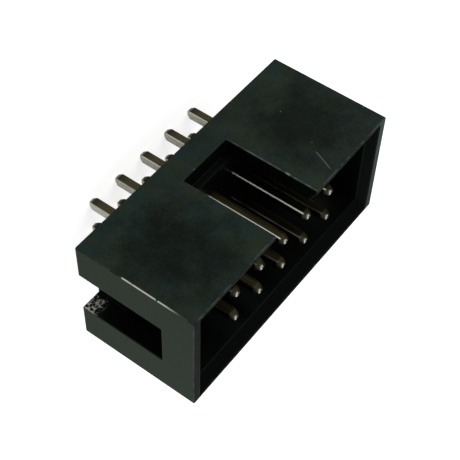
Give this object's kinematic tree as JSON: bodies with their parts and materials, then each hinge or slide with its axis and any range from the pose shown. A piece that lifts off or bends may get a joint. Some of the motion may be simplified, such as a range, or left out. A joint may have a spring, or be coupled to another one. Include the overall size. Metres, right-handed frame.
{
  "type": "shrouded pin header",
  "caption": "Upright two-row board header with square pins in a keyed, open-topped shroud for a flat-cable socket; solder tails below.",
  "frame": {"origin": "centre of the housing's underside, which is the plane that seats on the board, between the two rows of pins", "axes": "+X along the rows towards pins 1 and 2, -Y towards the wall with the key notch, +Z from the board to the mouth"},
  "size_m": [0.0204, 0.009, 0.0122],
  "materials": {
    "housing": "fine-grained semi-matte moulding, slightly scuffed on the outer edges",
    "pin": "thin gold plating, satin, darker on the sheared sides"
  },
  "bodies": {
    "root": {"housing": "housing", "pin_1": "pin", "pin_2": "pin", "pin_3": "pin", "pin_4": "pin", "pin_5": "pin", "pin_6": "pin", "pin_7": "pin", "pin_8": "pin", "pin_9": "pin", "pin_10": "pin"}
  },
  "joints": []
}
